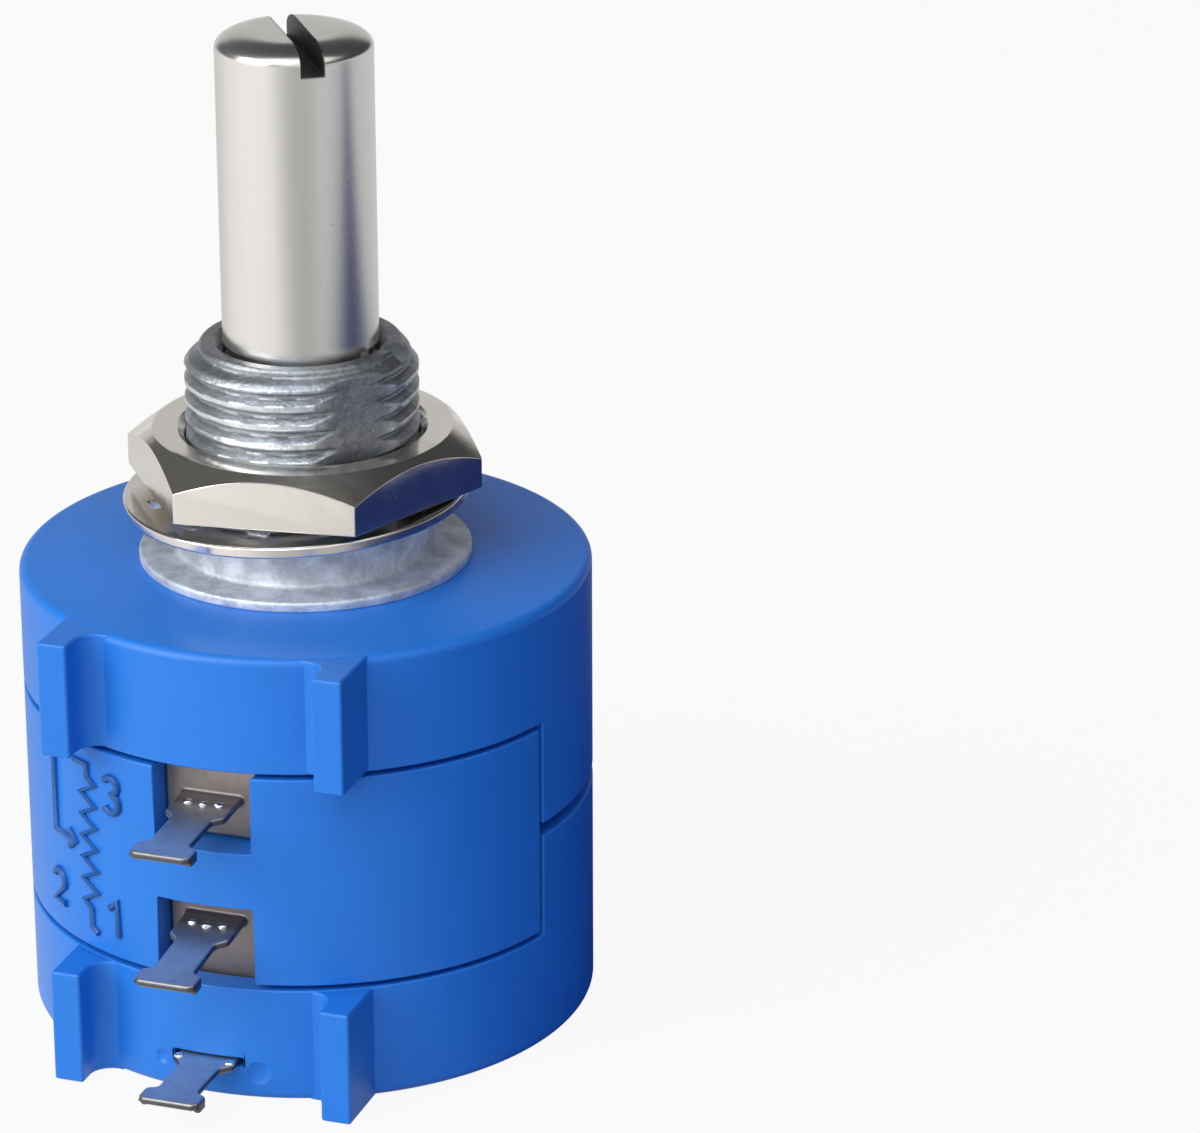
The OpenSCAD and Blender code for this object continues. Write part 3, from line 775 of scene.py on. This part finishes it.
class POT_OT_relief(PieceOperator):
    """Raise the wiring diagram and the terminals' numbers on the panel"""
    bl_idname = "pot.relief"
    bl_label = "Wiring relief"

    def make(self, pot):
        lines = [[(u * MM, MIDDLE_Z + z * MM) for u, z in line]
                 for line in (*self.wiring(), *self.numbers())]
        piece = strokes("wiring_relief", lines, BODY_R, pot.body.line_w, pot.body.line_h)
        dress(piece, "housing", "cover_plastic")

    def wiring(self):
        """Resistor between its two ends, the wiper's line with its arrow, and a bar."""
        zigzag = [(-5.72 if k % 2 else -4.88, 2.7 - 0.45 * k) for k in range(12)]
        return [[(-6.1, 3.45), (-5.3, 3.45), (-5.3, 2.95), *zigzag,
                 (-5.3, -2.55), (-5.3, -3.3), (-4.95, -3.5)],
                [(-7.95, 3.3), (-7.25, 3.3)],
                [(-7.6, 3.3), (-7.6, 0.0), (-6.2, 0.0)],
                [(-6.6, 0.35), (-6.15, 0.0), (-6.6, -0.35)]]

    def numbers(self):
        """The figures 2, 1 and 3, each beside the end that it names."""
        return [self.arc(-7.5, -2.1, 0.40, 160, -40) + [(-7.9, -3.0), (-7.05, -3.0)],
                [(-4.25, -2.2), (-3.85, -1.85), (-3.85, -3.3)],
                self.arc(-4.0, 2.95, 0.34, 150, -90) + self.arc(-4.0, 2.23, 0.38, 90, -150)]

    def arc(self, u, z, r, start, end):
        """Points of an arc that runs clockwise, every 15 degrees."""
        return [(u + r * math.cos(math.radians(a)), z + r * math.sin(math.radians(a)))
                for a in range(start, end - 1, -15)]


class POT_OT_bushing(PieceOperator):
    """Turn the cast bushing with its thread, flats and rim notch"""
    bl_idname = "pot.bushing"
    bl_label = "Threaded bushing"

    def make(self, pot):
        thread = pot.thread
        top, low = BUSHING_TOP_Z, BUSHING_LOW_Z
        bore_r, bore_chamfer, collar_r = 3.05 * MM, 0.3 * MM, 5.05 * MM
        flange_r, flange_z = 6.45 * MM, FACE_Z + 0.4 * MM
        neck_r, clinch_r, clinch_z = 5.6 * MM, 6.4 * MM, FACE_Z - 1.3 * MM
        head = rounded([(bore_r, low, 0), (bore_r, top - bore_chamfer, 0),
                        (bore_r + bore_chamfer, top, 0.05 * MM),
                        (thread.outer_r - thread.chamfer_w, top, 0.08 * MM),
                        (thread.outer_r, top - thread.chamfer_h, 0)])[:-1]
        foot = rounded([(thread.outer_r, COLLAR_Z, 0), (collar_r, COLLAR_Z, 0.12 * MM),
                        (collar_r, flange_z, 0.25 * MM), (flange_r, flange_z, 0.13 * MM),
                        (flange_r, FACE_Z, 0.06 * MM), (neck_r, FACE_Z, 0),
                        (neck_r, clinch_z, 0), (clinch_r, clinch_z, 0.05 * MM),
                        (clinch_r, low, 0.1 * MM)])
        row = 0.042 * MM
        rows = int(round((top - COLLAR_Z) / row))
        wall = [(thread.outer_r, top - k * row) for k in range(3, rows)]
        piece = lathe("bushing_casting", head + wall + foot, thread.steps)
        for vertex in piece.data.vertices:
            self.shape(vertex, thread)
        notch_w, notch_h = 1.0 * MM, 1.2 * MM
        cut(piece, box_piece("notch_tool", (notch_w, 3 * MM, notch_h),
                             (0, -thread.outer_r, top), math.radians(93)))
        smooth(piece, 40)
        dress(piece, "housing", "cast_zinc", "bushing")

    def shape(self, vertex, thread):
        """Move a point of the plain wall onto the thread, the chamfer and the flats."""
        x, y, z = vertex.co
        radius = math.hypot(x, y)
        above, under = z - COLLAR_Z, BUSHING_TOP_Z - z
        rough = noise.noise(vertex.co / (0.5 * MM)) * 0.008 * MM
        if above > 0.01 * MM and under > 0.1 * MM and radius > 4.2 * MM:
            azimuth = math.atan2(x, -y)
            # Share of the ridge's height: a flat root, a straight flank and a flat crest
            turn = above / thread.pitch - azimuth / (2 * math.pi)
            root, flank = 0.18, 0.56
            ridge = min(1.0, max(0.0, (abs(2 * (turn % 1.0) - 1) - root) / flank))
            fade = min(1.0, above / (0.4 * MM))
            wall = thread.outer_r - thread.depth * (1 - ridge) * fade
            cone = thread.outer_r - thread.chamfer_w * (1 - under / thread.chamfer_h)
            cone -= 0.16 * MM * (1 - ridge) * min(1.0, (under - 0.1 * MM) / (0.2 * MM))
            off = (azimuth - thread.flat_turn + math.pi / 2) % math.pi - math.pi / 2
            plane = thread.flat / max(0.3, math.cos(off)) + 0.01 * MM
            # The least of the three, rounded where two of them meet
            blend = 0.015 * MM
            least = -blend * math.log(sum(math.exp(-v / blend) for v in (wall, cone, plane)))
            scale = (min(least + 0.01 * MM, wall) + rough) / radius
        elif radius > 4.8 * MM and above > -2.1 * MM:
            scale = 1 + rough / radius
        else:
            return
        vertex.co.x, vertex.co.y = x * scale, y * scale


class POT_OT_shaft(PieceOperator):
    """Turn the shaft's free end, mill its slot and join it to the part inside"""
    bl_idname = "pot.shaft"
    bl_label = "Slotted shaft"

    def make(self, pot):
        metal = pot.metal
        mouth, top = BUSHING_TOP_Z, SHAFT_TOP_Z
        joint = mouth - 1.5 * MM
        inner = merged_copy("shaft", "shaft_turning")
        edit_all(lambda: bpy.ops.mesh.bisect(plane_co=(0, 0, joint), plane_no=(0, 0, 1),
                                             clear_outer=True, use_fill=True))
        smooth(inner)
        groove_r, groove_z = SHAFT_R - 0.25 * MM, mouth - 0.7 * MM
        crown_w, crown_h, crown_steps, steps = 1.3 * MM, 0.65 * MM, 14, 144
        profile = [(0, joint - SKIN), (SHAFT_R - SKIN, joint - SKIN), (SHAFT_R, joint),
                   (SHAFT_R, groove_z), (groove_r, groove_z), (groove_r, mouth),
                   (SHAFT_R, mouth), (SHAFT_R, mouth + 0.1 * MM),
                   (SHAFT_R, top - metal.slot_depth - 0.15 * MM)]
        for k in range(crown_steps + 1):
            turn = math.radians(90) * k / crown_steps
            profile.append((SHAFT_R - crown_w * (1 - math.cos(turn)),
                            top - crown_h * (1 - math.sin(turn))))
        end = lathe("shaft_end", [*profile, (0, top)], steps)
        cutter_h = 3 * MM
        cut(end, box_piece("slot_tool", (metal.slot_w, 10 * MM, cutter_h),
                           (0, 0, top - metal.slot_depth + cutter_h / 2), metal.slot_turn))
        soften(end, 0.03 * MM, 2, 40)
        take(inner, end)
        bpy.ops.object.join()
        true_wall(inner, SHAFT_R)
        dress(inner, "spindle", "shaft_steel", "shaft")


class POT_OT_fixings(PieceOperator):
    """Round the edges of the nut and of the lock washer"""
    bl_idname = "pot.fixings"
    bl_label = "Nut and washer"

    def make(self, pot):
        piece = merged_copy("hex_nut", "nut_plated")
        soften(piece, 0.045 * MM, 2, 25, "MITER_SHARP")
        true_cone(piece)
        dress(piece, "nut", "bright_plating", "hex_nut")
        piece = merged_copy("lock_washer", "washer_plated")
        soften(piece, 0.1 * MM)
        dress(piece, "washer", "bright_plating", "lock_washer")


class POT_OT_terminals(PieceOperator):
    """Round the edges of the three stamped terminals and put drops of solder on them"""
    bl_idname = "pot.terminals"
    bl_label = "Terminals"

    def make(self, pot):
        # Each lug, the level from which its drops fall, and their places on it
        row = ((-0.62, -10.72), (0.0, -10.78), (0.62, -10.70))
        for node, level, places in (
                ("terminal_ccw", FACE_Z, row),
                ("terminal_cw", MIDDLE_Z - 0.6 * MM, row),
                ("terminal_wiper", MIDDLE_Z - 0.6 * MM, ((-1.05, -11.42), (1.05, -11.42)))):
            piece = merged_copy(node, node + "_stamping")
            soften(piece, 0.12 * MM)
            dress(piece, "housing", "tinned_sheet", node)
            for x, y in places:
                self.solder(piece, node + "_solder", (x * MM, y * MM, level))

    def solder(self, lug, name, above):
        """Small uneven drop of solder, on top of a lug."""
        hit, place, _, _ = lug.ray_cast(above, (0, 0, -1))
        if not hit:
            raise RuntimeError("no lug under a drop of solder")
        drop = added(bpy.ops.mesh.primitive_uv_sphere_add, name, segments=24, ring_count=16,
                     radius=0.17 * MM)
        for vertex in drop.data.vertices:
            lump = 1 + 0.25 * noise.noise((vertex.co + place) / (0.15 * MM))
            vertex.co = Vector((vertex.co.x * 1.2, vertex.co.y, vertex.co.z * 0.7)) * lump
        drop.data.transform(Matrix.Translation(place))
        smooth(drop, 60)
        dress(drop, "housing", "bright_plating")


class POT_OT_works(PieceOperator):
    """Give every part inside the body its finish"""
    bl_idname = "pot.works"
    bl_label = "Inner works"

    def make(self, pot):
        slots = {part["node"]: part["material_slot"] for part in frame["record"]["subparts"]}
        for name, node in frame["nodes"].items():
            if not node.hide_render:
                node.material_slots[0].material = finish_of(slots[name])


class POT_OT_stage(PieceOperator):
    """Set up the floor, the lights, the surroundings and the camera"""
    bl_idname = "pot.stage"
    bl_label = "Stage"

    # Azimuths of the room, in degrees: its open front, its left side and its back wall
    FRONT, LEFT, BACK = 22.3, -67.7, 202.3
    WHITE = (1.0, 1.0, 1.0)

    def make(self, pot):
        self.floor(pot.stage)
        self.surroundings(pot.stage)
        self.lights(pot.stage)
        self.camera()

    def floor(self, stage):
        """Pale floor, just under the rear face, which reflections see in tones of its own."""
        plane = added(bpy.ops.mesh.primitive_plane_add, "floor", size=4,
                      location=(0, 0, -SKIN))
        plane.data.materials.append(bpy.data.materials.new("floor_card"))
        s = Shader(plane.data.materials[0])
        seen, mirrored = s.ray("Camera"), s.ray("Glossy")
        outward = s.node("ShaderNodeVectorMath", {"operation": "NORMALIZE"}, {0: s.place})
        # The floor itself, which lights the part blue from the right
        mild = s.noise(60 * MM, 2, 0.5)
        tint = tuple(stage.floor)
        right = (1 - s.ramp(s.along(outward, self.LEFT), -0.95, 0.0)) * (1 - seen)
        base = s.mix(right, s.mix(mild, shade(tint, 0.99), shade(tint, 1.01)),
                     s.mix(mild, (0.14, 0.22, 0.55), (0.15, 0.23, 0.56)))
        lit = s.node("ShaderNodeBsdfDiffuse", {}, {"Color": base})
        # What metal mirrors: white, darker in front, with a blue wedge on the right
        level = (0.74 - s.ramp(s.along(outward, self.FRONT), 0.80, 1.0) * 0.22
                 + s.ramp(s.along(outward, -50), 0.25, 1.0) * 0.30)
        away = s.along(s.place, 100)
        aside = s.along(s.place, 190)
        aside = (aside * 1.7).math("MAXIMUM", aside * -2.1)
        wedge = (1 - s.ramp(away + aside, 146 * MM, 152 * MM)) * s.ramp(
            s.along(outward, 112), 0.25, 0.75)
        mirror = s.glow(s.mix(wedge, (1.0, 0.99, 0.975), (0.006, 0.018, 0.12)), level)
        surface = s.between(seen * 0.92, lit, s.glow(self.WHITE))
        s.output(s.between(mirrored * 0.9, surface, mirror))

    def surroundings(self, stage):
        """Dim room with a white wall behind and a wide soft tent over the front."""
        world = bpy.data.worlds.new("studio")
        bpy.context.scene.world = world
        s = Shader(world, "Generated")
        height = s.part("Z")
        behind, left = s.along(s.place, self.BACK), s.along(s.place, self.LEFT)
        wall = s.ramp(behind, 0.80, 0.91) * (1 - s.ramp(height, 0.40, 0.47))
        ahead = s.ramp(height, 0.0, 0.12) * s.ramp(-behind, 0.84, 0.94)
        tent = (s.ramp(height * -0.15 - behind, -0.06, 0.14)
                * s.ramp(height, 0.28, 0.42).math("MAXIMUM", ahead)
                * s.ramp(left, -0.90, -0.62))
        low = 1 - s.ramp(height, -0.02, 0.06)
        room = 0.06 + s.ramp(left, -0.3, 1.0) * 0.08
        level = room + wall * 0.58 + tent + low * 0.5
        # Light from the right is blue too, apart from what metal mirrors
        right = (1 - s.ramp(left, -0.90, 0.0)) * (1 - s.ray("Glossy"))
        tint = s.mix(right, self.WHITE, (0.28, 0.42, 1.0))
        studio = s.node("ShaderNodeBackground", {}, {"Color": tint,
                                                     "Strength": level * stage.fill})
        white = s.node("ShaderNodeBackground", {}, {"Color": self.WHITE, "Strength": 1.0})
        s.output(s.between(s.ray("Camera"), studio, white), "World")

    def lights(self, stage):
        aim_at = Vector((0, 0, 18 * MM))
        for name, place, size, power, tint in (
                ("key_light", (-0.26, -0.30, 0.20), 0.34, stage.key, self.WHITE),
                ("front_light", (0.0, -0.30, 0.38), 0.20, stage.key * 0.33,
                 (0.62, 0.80, 1.0))):
            lamp = bpy.data.lights.new(name, "AREA")
            lamp.size = size
            lamp.energy = power
            lamp.color = tint
            light = link(name, lamp)
            light.location = place
            light.rotation_mode = "QUATERNION"
            light.rotation_quaternion = (aim_at - light.location).to_track_quat("-Z", "Y")

    def camera(self):
        lens = bpy.data.cameras.new("camera")
        lens.lens, lens.sensor_width = CAMERA_LENS, 36.0
        lens.clip_start, lens.clip_end = 0.01, 20.0
        camera = link("camera", lens)
        camera.location = CAMERA_PLACE
        right = CAMERA_AIM.cross(Vector((0, 0, 1))).normalized()
        up = right.cross(CAMERA_AIM)
        turn = Matrix((right, up, -CAMERA_AIM)).transposed().to_4x4()
        camera.rotation_mode = "QUATERNION"
        turn = turn @ Matrix.Rotation(CAMERA_ROLL, 4, "Z")
        camera.rotation_quaternion = turn.to_quaternion()
        bpy.context.scene.camera = camera
        bpy.context.scene.view_settings.view_transform = "Standard"


STEPS = (POT_OT_covers, POT_OT_case, POT_OT_relief, POT_OT_bushing, POT_OT_shaft,
         POT_OT_fixings, POT_OT_terminals, POT_OT_works, POT_OT_stage)


class PotSettings(PropertyGroup):
    body: PointerProperty(type=BodySettings)
    thread: PointerProperty(type=ThreadSettings)
    metal: PointerProperty(type=MetalSettings)
    stage: PointerProperty(type=StageSettings)


class POT_PT_panel(Panel):
    """Lists the steps and their settings"""
    bl_idname = "POT_PT_panel"
    bl_label = "Potentiometer"
    bl_space_type = "VIEW_3D"
    bl_region_type = "UI"
    bl_category = "Potentiometer"

    def draw(self, context):
        for step in STEPS:
            self.layout.operator(step.bl_idname)
        for group in (context.scene.pot.body, context.scene.pot.thread,
                      context.scene.pot.metal, context.scene.pot.stage):
            box = self.layout.box()
            for name in group.__annotations__:
                box.prop(group, name)


CLASSES = (BodySettings, ThreadSettings, MetalSettings, StageSettings, PotSettings,
           *STEPS, POT_PT_panel)


def register():
    for cls in CLASSES:
        bpy.utils.register_class(cls)
    bpy.types.Scene.pot = PointerProperty(type=PotSettings)


def unregister():
    del bpy.types.Scene.pot
    for cls in reversed(CLASSES):
        bpy.utils.unregister_class(cls)


def main():
    register()
    for step in STEPS:
        group, name = step.bl_idname.split(".")
        getattr(getattr(bpy.ops, group), name)()


if __name__ == "__main__":
    main()
